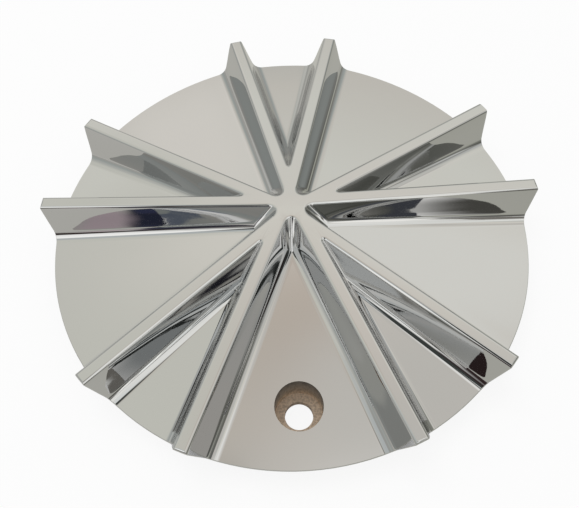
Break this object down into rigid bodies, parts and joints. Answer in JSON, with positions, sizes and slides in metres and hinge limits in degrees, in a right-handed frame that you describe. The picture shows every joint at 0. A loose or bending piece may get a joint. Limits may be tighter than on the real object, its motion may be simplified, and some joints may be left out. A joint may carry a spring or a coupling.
{
  "type": "wheel center cap",
  "caption": "Round chrome-plated wheel center cap: shallow face with raised straight fins in pairs that meet in a star at the hub, and a counterbored screw hole near the edge.",
  "frame": {"origin": "on the hub axis in the seat plane, which is the underside of the locating ring and of the screw boss", "axes": "+Z out of the wheel along the hub axis, the screw hole toward -Y, +X to the right when the screw hole is at the bottom"},
  "size_m": [0.1708, 0.1663, 0.0278],
  "materials": {
    "chrome_plate": "bright decorative chrome plate on a moulded ABS body, dull and thin inside the screw hole"
  },
  "bodies": {
    "root": {"center_cap": "chrome_plate"}
  },
  "joints": []
}
